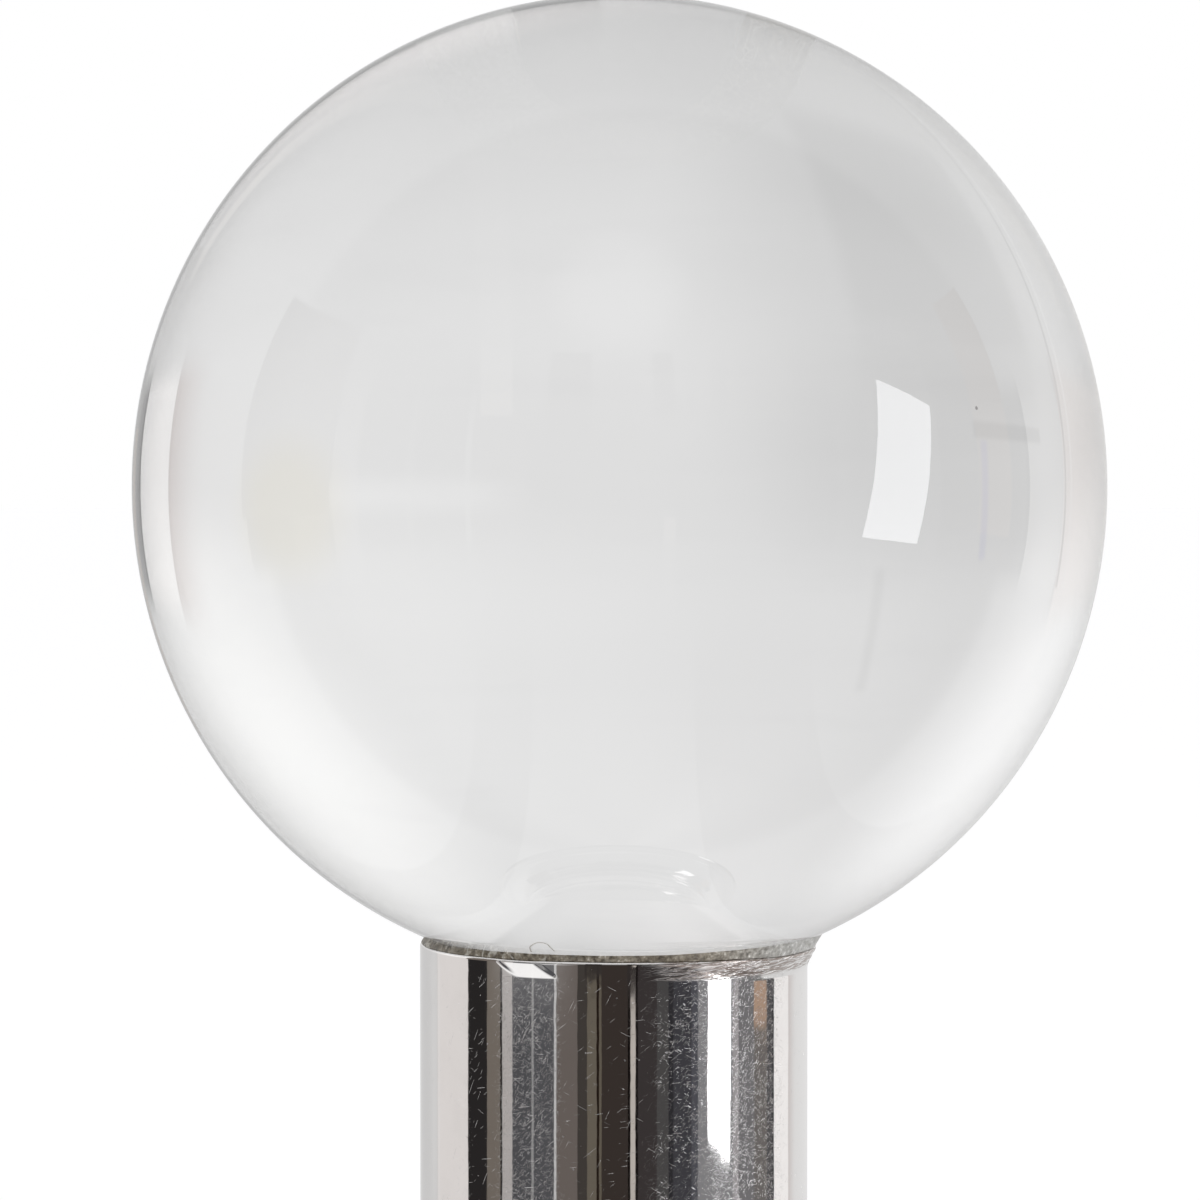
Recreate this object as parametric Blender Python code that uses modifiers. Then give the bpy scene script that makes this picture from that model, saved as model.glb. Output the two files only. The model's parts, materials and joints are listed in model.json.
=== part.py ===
"""Hood ornament: a solid glass ball cemented on a chromed tube, with a foot that clamps to a hood.

A tie rod runs through the whole stem. Its upper end pulls the ball's seat down on the tube and the
foot, and its lower end passes through a hole in the hood, where a wing nut and washers clamp it.

Metres, +Z up. The origin is the centre of the hood's hole, on the outer surface of the hood.
+X is the side where the tube's mouth is flared and the bead of cement is thickest.
"""

import math

import bmesh
import bpy
from mathutils import Vector

MM = 0.001

# Driving dimensions
BALL_RADIUS = 35 * MM
BALL_OVER_RIM = 32.8 * MM
BALL_SHIFT = 0.4 * MM
TUBE_RADIUS = 14 * MM
TUBE_WALL = 1.5 * MM
TUBE_LENGTH = 45 * MM
BASE_RADIUS = 28 * MM
BASE_HEIGHT = 13.7 * MM
GASKET_RADIUS = 27 * MM
GASKET_THICKNESS = 2 * MM
ROD_LENGTH = 100 * MM
HOOD_ROOM = 6 * MM

# M8 fasteners. A rod or a bore is plain, halfway up its thread, with running room between them.
ROD_RADIUS = 3.85 * MM
BORE_RADIUS = 4.15 * MM
HOLE_RADIUS = 4.3 * MM
NUT_ACROSS_FLATS = 13 * MM
NUT_HEIGHT = 6.5 * MM
JAM_NUT_HEIGHT = 4 * MM
SPRING_WASHER_RADIUS = 7.4 * MM
SPRING_WASHER_THICKNESS = 2 * MM
FLAT_RISE = 0.2 * MM
FREE_RISE = 0.8 * MM
PLATE_THICKNESS = 1.6 * MM
PAD_THICKNESS = 2 * MM
BASE_WASHER_RADIUS = 12 * MM
BACKING_RADIUS = 14 * MM
PAD_RADIUS = 15 * MM

GAP = 0.3 * MM
SEAT_GAP = 0.1 * MM
ROUND_STEPS = 40
SHARP_ANGLE = math.radians(32)

# Heights above the hood
BASE_BOTTOM = GASKET_THICKNESS + GAP
BASE_TOP = BASE_BOTTOM + BASE_HEIGHT
BASE_ROOF = 4 * MM
BUSH_FLANGE = 2 * MM
TUBE_BOTTOM = BASE_TOP + GAP + BUSH_FLANGE + GAP
RIM = TUBE_BOTTOM + TUBE_LENGTH
BALL_CENTRE = RIM + BALL_OVER_RIM

# The flared side of the tube's mouth
LIP_DROP = 0.15 * MM
LIP_FLARE = 0.6 * MM
LIP_HEIGHT = 1.4 * MM
LIP_LAND = 0.25 * MM
LIP_START = 0.2 * MM
MOUTH_DEPTH = 1 * MM
SEAT_DROP = 0.6
CEMENT_SWELL = 0.2 * MM
CEMENT_SETBACK = 0.05 * MM
FLARE_START = math.radians(85)
FLARE_FULL = math.radians(25)

# The seat under the ball, as radii of spheres about the ball's centre
CUSHION_TOP = BALL_RADIUS + GAP
CUSHION_BOTTOM = BALL_RADIUS + 1.2 * MM
SEAT_SPHERE = CUSHION_BOTTOM + GAP
CUSHION_RADIUS = 8.3 * MM
PLUG_RADIUS = TUBE_RADIUS - TUBE_WALL - GAP
PLUG_BOTTOM = RIM - 17 * MM
PLUG_BORE_DEPTH = 10.5 * MM
ROD_TOP = PLUG_BOTTOM + PLUG_BORE_DEPTH - 2 * GAP


def clear_scene():
    for obj in list(bpy.data.objects):
        bpy.data.objects.remove(obj, do_unlink=True)


def new_collection(name):
    collection = bpy.data.collections.new(name)
    bpy.context.scene.collection.children.link(collection)
    return collection


def material(name, colour, roughness, metallic, transmission=0.0):
    made = bpy.data.materials.new(name)
    made.use_nodes = True
    shader = made.node_tree.nodes["Principled BSDF"]
    shader.inputs["Base Color"].default_value = (*colour, 1)
    shader.inputs["Roughness"].default_value = roughness
    shader.inputs["Metallic"].default_value = metallic
    shader.inputs["Transmission Weight"].default_value = transmission
    made.diffuse_color = (*colour, 1)
    return made


def new_object(name, mesh, collection=None):
    obj = bpy.data.objects.new(name, mesh)
    (collection or parts).objects.link(obj)
    return obj


def applied(obj):
    """The object with its modifiers applied, shaded smooth between its sharp edges."""
    bpy.context.view_layer.update()
    graph = bpy.context.evaluated_depsgraph_get()
    mesh = bpy.data.meshes.new_from_object(obj.evaluated_get(graph))
    obj.modifiers.clear()
    obj.data = mesh
    mesh.shade_smooth()
    mesh.set_sharp_from_angle(angle=SHARP_ANGLE)
    return obj


def placed(obj, look, height=0.0, parent=None):
    """Gives a piece its material, its height and the empty that it moves with."""
    obj.data.materials.clear()
    obj.data.materials.append(look)
    obj.location.z += height
    obj.parent = parent or fixed
    return obj


def arc(centre, radius, start, end, steps=5):
    """Points round a centre in the profile plane, from one angle to another, in degrees."""
    points = []
    for i in range(steps + 1):
        angle = math.radians(start + (end - start) * i / steps)
        x = centre[0] + radius * math.cos(angle)
        z = centre[1] + radius * math.sin(angle)
        points.append((x, z))
    return points


def turned(name, profile, closed=True, collection=None):
    """A profile of (radius, height) turned about Z. It runs down its outer side."""
    count = len(profile)
    edges = [(i, i + 1) for i in range(count - 1)]
    if closed:
        edges.append((count - 1, 0))
    mesh = bpy.data.meshes.new(name)
    mesh.from_pydata([(x, 0, z) for x, z in profile], edges, [])
    obj = new_object(name, mesh, collection)
    screw = obj.modifiers.new("turn", "SCREW")
    screw.axis = "Z"
    screw.steps = ROUND_STEPS
    screw.render_steps = ROUND_STEPS
    screw.use_merge_vertices = True
    screw.merge_threshold = 0.00002
    return applied(obj)


def ring(name, inner, outer, thickness, chamfer=0.2 * MM):
    """A flat ring with its upper face at height 0 and its outer edges chamfered."""
    return turned(
        name,
        [
            (inner, 0),
            (outer - chamfer, 0),
            (outer, -chamfer),
            (outer, chamfer - thickness),
            (outer - chamfer, -thickness),
            (inner, -thickness),
        ],
    )


def lofted_ring(name, section):
    """A ring whose section(angle), a loop of (radius, height), changes on the way round."""
    shaper = bmesh.new()
    rows = []
    for i in range(ROUND_STEPS):
        angle = math.tau * i / ROUND_STEPS
        rows.append(
            [
                shaper.verts.new((r * math.cos(angle), r * math.sin(angle), z))
                for r, z in section(angle)
            ]
        )
    for row, following in zip(rows, rows[1:] + rows[:1]):
        bmesh.ops.bridge_loops(
            shaper, edges=loop_edges(shaper, row) + loop_edges(shaper, following)
        )
    bmesh.ops.recalc_face_normals(shaper, faces=shaper.faces)
    mesh = bpy.data.meshes.new(name)
    shaper.to_mesh(mesh)
    shaper.free()
    return applied(new_object(name, mesh))


def loop_edges(shaper, row):
    pairs = zip(row, row[1:] + row[:1])
    return [shaper.edges.get(pair) or shaper.edges.new(pair) for pair in pairs]


def cylinder(name, radius, height, segments=ROUND_STEPS, collection=None):
    """A cylinder, or a prism, with its upper face at height 0."""
    shaper = bmesh.new()
    bmesh.ops.create_cone(
        shaper,
        cap_ends=True,
        segments=segments,
        radius1=radius,
        radius2=radius,
        depth=height,
    )
    bmesh.ops.translate(shaper, verts=shaper.verts, vec=(0, 0, -height / 2))
    mesh = bpy.data.meshes.new(name)
    shaper.to_mesh(mesh)
    shaper.free()
    return new_object(name, mesh, collection)


def combine(obj, other, operation):
    other.hide_render = True
    other.display_type = "WIRE"
    boolean = obj.modifiers.new(operation.lower(), "BOOLEAN")
    boolean.operation = operation
    boolean.solver = "EXACT"
    boolean.object = other


def bore(obj, radius, depth):
    """Cuts a plain hole up the axis of a piece that hangs from height 0."""
    cutter = cylinder(obj.name + "_bore", radius, depth + 2 * MM, collection=cutters)
    cutter.location.z = MM
    combine(obj, cutter, "DIFFERENCE")
    return applied(obj)


def ball_underside(x, y, radius):
    """The height of the lower half of a sphere about the ball's centre, over the point x, y."""
    return BALL_CENTRE - math.sqrt(radius**2 - (x - BALL_SHIFT) ** 2 - y**2)


def flare(angle):
    """How far the mouth is flared at an angle from +X: 1 on that side, 0 from 85 degrees on."""
    off = abs(math.remainder(angle, math.tau))
    share = min(1, max(0, (FLARE_START - off) / (FLARE_START - FLARE_FULL)))
    return share * share * (3 - 2 * share)


def mouth(angle):
    """The tube's mouth at an angle: its outer edge and the inner edge of its countersink."""
    share = flare(angle)
    edge = (TUBE_RADIUS + LIP_FLARE * share, RIM - LIP_DROP * share)
    seat = (TUBE_RADIUS - TUBE_WALL, RIM - MOUTH_DEPTH - SEAT_DROP * LIP_DROP * share)
    return edge, seat


def glass_ball():
    shaper = bmesh.new()
    bmesh.ops.create_uvsphere(
        shaper, u_segments=ROUND_STEPS, v_segments=ROUND_STEPS // 2, radius=BALL_RADIUS
    )
    mesh = bpy.data.meshes.new("glass_ball")
    shaper.to_mesh(mesh)
    shaper.free()
    ball = applied(new_object("glass_ball", mesh))
    ball.location.x = BALL_SHIFT
    return placed(ball, glass, BALL_CENTRE)


def cement_section(angle):
    """The cement fills the seat beside the cushion, and swells out over the tube's mouth."""
    edge, seat = mouth(angle)
    toward = (math.cos(angle), math.sin(angle))
    outer = TUBE_RADIUS + CEMENT_SWELL + BALL_SHIFT * toward[0] + LIP_FLARE * flare(angle)
    inner = CUSHION_RADIUS + GAP

    def under(radius, sphere):
        return (radius, ball_underside(radius * toward[0], radius * toward[1], sphere))

    top = [
        under(inner + (outer - inner) * i / 4, BALL_RADIUS + SEAT_GAP)
        for i in range(5)
    ]
    brink = Vector(top[-1])
    foot = Vector((edge[0] - CEMENT_SETBACK, edge[1] + SEAT_GAP))
    hollow = 0.75
    waist = Vector((hollow * foot.x + (1 - hollow) * brink.x, (foot.y + brink.y) / 2))
    meniscus = [
        tuple(brink * (1 - t) ** 2 + waist * 2 * t * (1 - t) + foot * t**2)
        for t in (1 / 3, 2 / 3, 1)
    ]
    below = [
        (edge[0] - LIP_LAND, edge[1] + SEAT_GAP),
        (seat[0] + SEAT_GAP, seat[1] + 2 * SEAT_GAP),
        under(PLUG_RADIUS - SEAT_GAP, CUSHION_BOTTOM),
        under(inner, CUSHION_BOTTOM),
    ]
    return top + meniscus + below


def tube_section(angle):
    """The wall of the tube: a countersunk mouth, its flare and a square lower end."""
    edge, seat = mouth(angle)
    start = edge[1] - LIP_HEIGHT * flare(angle) - LIP_START
    lip = []
    for i in range(5):
        t = 1 - i / 4
        lip.append((TUBE_RADIUS + (edge[0] - TUBE_RADIUS) * t * t, start + (edge[1] - start) * t))
    return [
        seat,
        (edge[0] - LIP_LAND, edge[1]),
        *lip,
        (TUBE_RADIUS, TUBE_BOTTOM),
        (TUBE_RADIUS - TUBE_WALL, TUBE_BOTTOM),
    ]


def seat_cushion():
    """A dished disc that keeps the glass off the metal."""
    lens = [
        (
            CUSHION_RADIUS * i / 4,
            BALL_CENTRE - math.sqrt(CUSHION_TOP**2 - (CUSHION_RADIUS * i / 4) ** 2),
        )
        for i in range(5)
    ]
    under = [
        (x, BALL_CENTRE - math.sqrt(CUSHION_BOTTOM**2 - x**2)) for x, _ in reversed(lens)
    ]
    return placed(turned("seat_cushion", lens + under, closed=False), rubber)


def seat_plug():
    """The plug that carries the ball: dished on top, tapped from below for the tie rod."""
    chamfer = 0.5 * MM
    dish = []
    for i in range(7):
        x = PLUG_RADIUS * i / 6
        dish.append((x, BALL_CENTRE - math.sqrt(SEAT_SPHERE**2 - x**2)))
    plug = turned(
        "seat_plug",
        [
            *dish,
            (PLUG_RADIUS, PLUG_BOTTOM + chamfer),
            (PLUG_RADIUS - chamfer, PLUG_BOTTOM),
            (BORE_RADIUS, PLUG_BOTTOM),
            (BORE_RADIUS, PLUG_BOTTOM + PLUG_BORE_DEPTH),
            (0, PLUG_BOTTOM + PLUG_BORE_DEPTH + MM),
        ],
        closed=False,
    )
    return placed(plug, brass)


def tie_rod():
    chamfer = 0.8 * MM
    rod = turned(
        "tie_rod",
        [
            (0, 0),
            (ROD_RADIUS - chamfer, 0),
            (ROD_RADIUS, -chamfer),
            (ROD_RADIUS, chamfer - ROD_LENGTH),
            (ROD_RADIUS - chamfer, -ROD_LENGTH),
            (0, -ROD_LENGTH),
        ],
        closed=False,
    )
    return placed(rod, zinc, ROD_TOP)


def hex_nut(name, height):
    """A hexagon nut hanging from height 0, its corners turned off at 30 degrees."""
    corner = NUT_ACROSS_FLATS / math.sqrt(3)
    margin = 0.2 * MM
    face = NUT_ACROSS_FLATS / 2 - margin
    slope = math.tan(math.radians(30))
    drop = (corner + margin - face) * slope
    nut = cylinder(name, corner, height, segments=6)
    turning = turned(
        name + "_turning",
        [
            (0, 0),
            (face, 0),
            (corner + margin, -drop),
            (corner + margin, drop - height),
            (face, -height),
            (0, -height),
        ],
        closed=False,
        collection=cutters,
    )
    combine(nut, turning, "INTERSECT")
    return bore(applied(nut), BORE_RADIUS, height)


def spring_washer(name, rise):
    """A split ring whose two ends stand apart by its rise, with its upper end at height 0."""
    turn = math.radians(346)
    shaper = bmesh.new()
    corners = [
        shaper.verts.new((x, 0, z))
        for x, z in (
            (HOLE_RADIUS, 0),
            (SPRING_WASHER_RADIUS, 0),
            (SPRING_WASHER_RADIUS, -SPRING_WASHER_THICKNESS),
            (HOLE_RADIUS, -SPRING_WASHER_THICKNESS),
        )
    ]
    section = shaper.faces.new(corners)
    steps = 36
    bmesh.ops.spin(
        shaper,
        geom=[section, *section.edges, *section.verts],
        cent=(0, 0, 0),
        axis=(0, 0, 1),
        dvec=(0, 0, -rise / steps),
        angle=turn,
        steps=steps,
    )
    bmesh.ops.recalc_face_normals(shaper, faces=shaper.faces)
    mesh = bpy.data.meshes.new(name)
    shaper.to_mesh(mesh)
    shaper.free()
    return applied(new_object(name, mesh))


def centring_bush():
    """A flanged bush that holds the foot of the tube round the tie rod."""
    spigot = 8 * MM
    chamfer = 0.6 * MM
    bush = turned(
        "centring_bush",
        [
            (HOLE_RADIUS, spigot),
            (PLUG_RADIUS - chamfer, spigot),
            (PLUG_RADIUS, spigot - chamfer),
            (PLUG_RADIUS, 0),
            (TUBE_RADIUS, 0),
            (TUBE_RADIUS, -BUSH_FLANGE),
            (HOLE_RADIUS, -BUSH_FLANGE),
        ],
    )
    return placed(bush, brass, BASE_TOP + GAP + BUSH_FLANGE)


def stem_collar():
    """A ring of two half-round beads that hides the joint between the tube and the foot."""
    bead = 1.3 * MM
    between = 0.2 * MM
    inner = TUBE_RADIUS + GAP
    groove = inner + 1.1 * MM
    beads = []
    for height in (3 * bead + between, bead):
        beads += arc((groove, height), bead, 90, -90, 4)
    collar = turned("stem_collar", [(inner, 4 * bead + between), *beads, (inner, 0)])
    return placed(collar, chrome, BASE_TOP + GAP)


def base_flange():
    """The foot: a hollow stepped casting with a cove, open below for the lock nut."""
    shoulder = 17.2 * MM
    rounding = 0.5 * MM
    cove = 7.4 * MM
    cove_top = BASE_HEIGHT - 1.8 * MM
    cove_foot = cove_top - cove
    step = shoulder + cove + 0.8 * MM
    step_foot = cove_foot - 0.9 * MM
    edge = 1.8 * MM
    ceiling = BASE_HEIGHT - BASE_ROOF
    recess = 13 * MM
    skirt = 20.5 * MM
    skirt_height = 2.2 * MM
    base = turned(
        "base_flange",
        [
            (HOLE_RADIUS, BASE_HEIGHT),
            *arc((shoulder - rounding, BASE_HEIGHT - rounding), rounding, 90, 0, 2),
            *arc((shoulder + cove, cove_top), cove, 180, 270, 5),
            (step, cove_foot),
            (step, step_foot),
            *arc((BASE_RADIUS - edge, step_foot - edge), edge, 90, 0, 3),
            (BASE_RADIUS, 0),
            (skirt, 0),
            (skirt, skirt_height),
            (recess, ceiling),
            (HOLE_RADIUS, ceiling),
        ],
    )
    return placed(base, chrome, BASE_BOTTOM)


def wing(name, side):
    """One ear of the wing nut: a plate between a root circle and a larger lobe circle."""
    root = Vector((5.6 * MM, -5.2 * MM))
    root_radius = 3.6 * MM
    lobe = Vector((14.9 * MM, -15.6 * MM))
    lobe_radius = 4.4 * MM
    half_thickness = 1.7 * MM
    lean = math.asin((lobe_radius - root_radius) / (lobe - root).length)
    heading = math.atan2(lobe.y - root.y, lobe.x - root.x)
    outline = []
    for centre, radius, start, end in (
        (lobe, lobe_radius, heading - math.pi / 2 - lean, heading + math.pi / 2 + lean),
        (root, root_radius, heading + math.pi / 2 + lean, heading + 3 * math.pi / 2 - lean),
    ):
        for i in range(11):
            angle = start + (end - start) * i / 10
            outline.append(centre + radius * Vector((math.cos(angle), math.sin(angle))))
    curve = bpy.data.curves.new(name, "CURVE")
    curve.dimensions = "2D"
    curve.fill_mode = "BOTH"
    curve.extrude = half_thickness
    spline = curve.splines.new("POLY")
    spline.points.add(len(outline) - 1)
    for point, at in zip(spline.points, outline):
        point.co = (side * at.x, at.y, 0, 1)
    spline.use_cyclic_u = True
    flat = new_object(name, curve, cutters)
    flat.rotation_euler.x = math.pi / 2
    bpy.context.view_layer.update()
    graph = bpy.context.evaluated_depsgraph_get()
    mesh = bpy.data.meshes.new_from_object(flat.evaluated_get(graph))
    mesh.transform(flat.matrix_world)
    bpy.data.objects.remove(flat)
    shaper = bmesh.new()
    shaper.from_mesh(mesh)
    bmesh.ops.remove_doubles(shaper, verts=shaper.verts, dist=0.001 * MM)
    bmesh.ops.recalc_face_normals(shaper, faces=shaper.faces)
    shaper.to_mesh(mesh)
    shaper.free()
    plate = new_object(name, mesh, cutters)
    rounding = plate.modifiers.new("rounding", "BEVEL")
    rounding.width = 0.7 * MM
    rounding.segments = 2
    rounding.limit_method = "ANGLE"
    rounding.angle_limit = math.radians(60)
    return applied(plate)


def wing_nut(parent):
    """A cast wing nut hanging from its bearing face, its two ears pointing out and down."""
    height = 8 * MM
    collar = 7.9 * MM
    collar_height = 1.6 * MM
    waist = 6.6 * MM
    waist_height = 3.4 * MM
    tip = 6.1 * MM
    chamfer = 0.5 * MM
    tip_chamfer = 0.7 * MM
    nut = turned(
        "wing_nut",
        [
            (0, 0),
            (collar - chamfer, 0),
            (collar, -chamfer),
            (collar, -collar_height),
            (waist, -waist_height),
            (tip, tip_chamfer - height),
            (tip - chamfer, -height),
            (0, -height),
        ],
        closed=False,
    )
    for side in (-1, 1):
        combine(nut, wing("wing_ear" + ("_a" if side < 0 else "_b"), side), "UNION")
    nut = bore(applied(nut), BORE_RADIUS, height)
    return placed(nut, zinc, parent=parent)


def fixed_pieces():
    glass_ball()
    placed(lofted_ring("bonding_cement", cement_section), cement)
    seat_cushion()
    seat_plug()
    placed(lofted_ring("stem_tube", tube_section), chrome)
    tie_rod()
    centring_bush()
    stem_collar()
    base_flange()
    gasket = ring("base_gasket", HOLE_RADIUS, GASKET_RADIUS, GASKET_THICKNESS, 0.4 * MM)
    placed(gasket, rubber, GASKET_THICKNESS)

    height = PLUG_BOTTOM - GAP
    placed(spring_washer("seat_spring_washer", FLAT_RISE), zinc, height)
    height -= SPRING_WASHER_THICKNESS + FLAT_RISE + GAP
    placed(hex_nut("seat_lock_nut", NUT_HEIGHT), zinc, height)

    height = BASE_TOP - BASE_ROOF - GAP
    washer = ring("base_plain_washer", HOLE_RADIUS, BASE_WASHER_RADIUS, PLATE_THICKNESS)
    placed(washer, zinc, height)
    height -= PLATE_THICKNESS + GAP
    placed(spring_washer("base_spring_washer", FLAT_RISE), zinc, height)
    height -= SPRING_WASHER_THICKNESS + FLAT_RISE + GAP
    placed(hex_nut("base_lock_nut", JAM_NUT_HEIGHT), zinc, height)


def moving_pieces(clamp, spin):
    """The washers ride on the wing nut: the clamp slides, and the nut turns inside it."""
    pad = ring("hood_rubber_washer", HOLE_RADIUS, PAD_RADIUS, PAD_THICKNESS)
    placed(pad, rubber, parent=clamp)
    height = -PAD_THICKNESS - GAP
    plate = ring("hood_backing_washer", HOLE_RADIUS, BACKING_RADIUS, PLATE_THICKNESS)
    placed(plate, zinc, height, clamp)
    height -= PLATE_THICKNESS + GAP
    placed(spring_washer("hood_spring_washer", FREE_RISE), zinc, height, clamp)
    height -= SPRING_WASHER_THICKNESS + FREE_RISE + GAP
    spin.location.z = height
    wing_nut(spin)


clear_scene()
parts = new_collection("hood_ornament")
cutters = new_collection("cutters")

glass = material("glass", (0.95, 0.97, 0.97), 0.0, 0.0, transmission=1.0)
chrome = material("chrome", (0.80, 0.80, 0.80), 0.06, 1.0)
brass = material("brass", (0.72, 0.56, 0.27), 0.28, 1.0)
zinc = material("zinc_plate", (0.62, 0.63, 0.64), 0.32, 1.0)
rubber = material("rubber", (0.025, 0.025, 0.026), 0.75, 0.0)
cement = material("cement", (0.30, 0.28, 0.24), 0.7, 0.0)

fixed = new_object("ornament", None)
hood_clamp = new_object("hood_clamp", None)
hood_clamp.location.z = -HOOD_ROOM
nut_turn = new_object("nut_turn", None)
nut_turn.parent = hood_clamp

fixed_pieces()
moving_pieces(hood_clamp, nut_turn)
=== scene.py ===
"""Looks of the hood ornament: a clear glass ball on a scratched chrome tube, its foot and its fasteners.

Metres, +Z up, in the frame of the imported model. -Y faces the camera, and +X is the side where the
tube's mouth is flared.
"""

import json
import math

import bmesh
import bpy
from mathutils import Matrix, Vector, noise


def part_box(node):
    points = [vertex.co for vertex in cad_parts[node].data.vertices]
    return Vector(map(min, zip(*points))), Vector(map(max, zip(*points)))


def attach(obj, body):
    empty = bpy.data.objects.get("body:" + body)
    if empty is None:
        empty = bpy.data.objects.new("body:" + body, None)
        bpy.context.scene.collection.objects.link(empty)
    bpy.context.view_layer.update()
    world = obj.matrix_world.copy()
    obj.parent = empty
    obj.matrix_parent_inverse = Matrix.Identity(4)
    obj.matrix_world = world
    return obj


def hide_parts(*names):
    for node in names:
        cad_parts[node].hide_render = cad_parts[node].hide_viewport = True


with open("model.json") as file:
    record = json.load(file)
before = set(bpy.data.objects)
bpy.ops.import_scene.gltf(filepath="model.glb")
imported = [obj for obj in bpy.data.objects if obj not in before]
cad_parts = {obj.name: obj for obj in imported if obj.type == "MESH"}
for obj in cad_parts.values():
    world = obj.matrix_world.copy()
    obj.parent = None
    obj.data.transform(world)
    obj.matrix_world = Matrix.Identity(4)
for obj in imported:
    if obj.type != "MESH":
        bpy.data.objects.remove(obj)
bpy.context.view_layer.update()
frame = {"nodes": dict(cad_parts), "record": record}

MM = 0.001

# ---------------------------------------------------------------- the frame's own sizes

ball_low, ball_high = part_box("glass_ball")
tube_low, tube_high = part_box("stem_tube")
collar_low, collar_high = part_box("stem_collar")
base_low, base_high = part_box("base_flange")
gasket_low, gasket_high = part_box("base_gasket")
rod_low, rod_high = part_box("tie_rod")
nut_low, nut_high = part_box("wing_nut")

BALL_CENTRE = (ball_low + ball_high) / 2
BALL_RADIUS = (ball_high.z - ball_low.z) / 2
BALL_STRETCH = 1.008
TUBE_RADIUS = tube_high.y
TUBE_BOTTOM = tube_low.z
RIM = tube_high.z
FLOOR = rod_low.z - 0.3 * MM

# The tube's mouth: square on most sides, and flared and worn down towards +X
TUBE_WALL = 1.5 * MM
MOUTH_DEPTH = 1 * MM
LIP_DROP = 0.15 * MM
LIP_FLARE = 0.6 * MM
LIP_HEIGHT = 1.6 * MM
LIP_HEIGHT_PLAIN = 0.4 * MM
LIP_ROUND = 0.22 * MM
LIP_ROWS = 24
LIP_CREASE = 0.05 * MM
EDGE_WIDTH = 0.3 * MM
FLARE_START = math.radians(85)
FLARE_FULL = math.radians(25)

# A flat dent worn on the crown, left of the front. The tube's mesh leans with it near by.
FACET_DEPTH = 0.045 * MM
FACET_HEIGHT = 1.2 * MM
FACET_FROM = math.radians(-35.5)
FACET_FULL = math.radians(-33.5)
FACET_TO = math.radians(-21.8)
FACET_FADE = math.radians(1)
FACET_SLANT = math.radians(6)
FACET_LEAN_REACH = math.radians(24)

CEMENT_INNER = 8.6 * MM

# Thread of the tie rod, M8
ROD_RADIUS = 4 * MM
PITCH = 1.25 * MM
THREAD_DEPTH = 0.7 * MM


# ---------------------------------------------------------------- nodes


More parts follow.
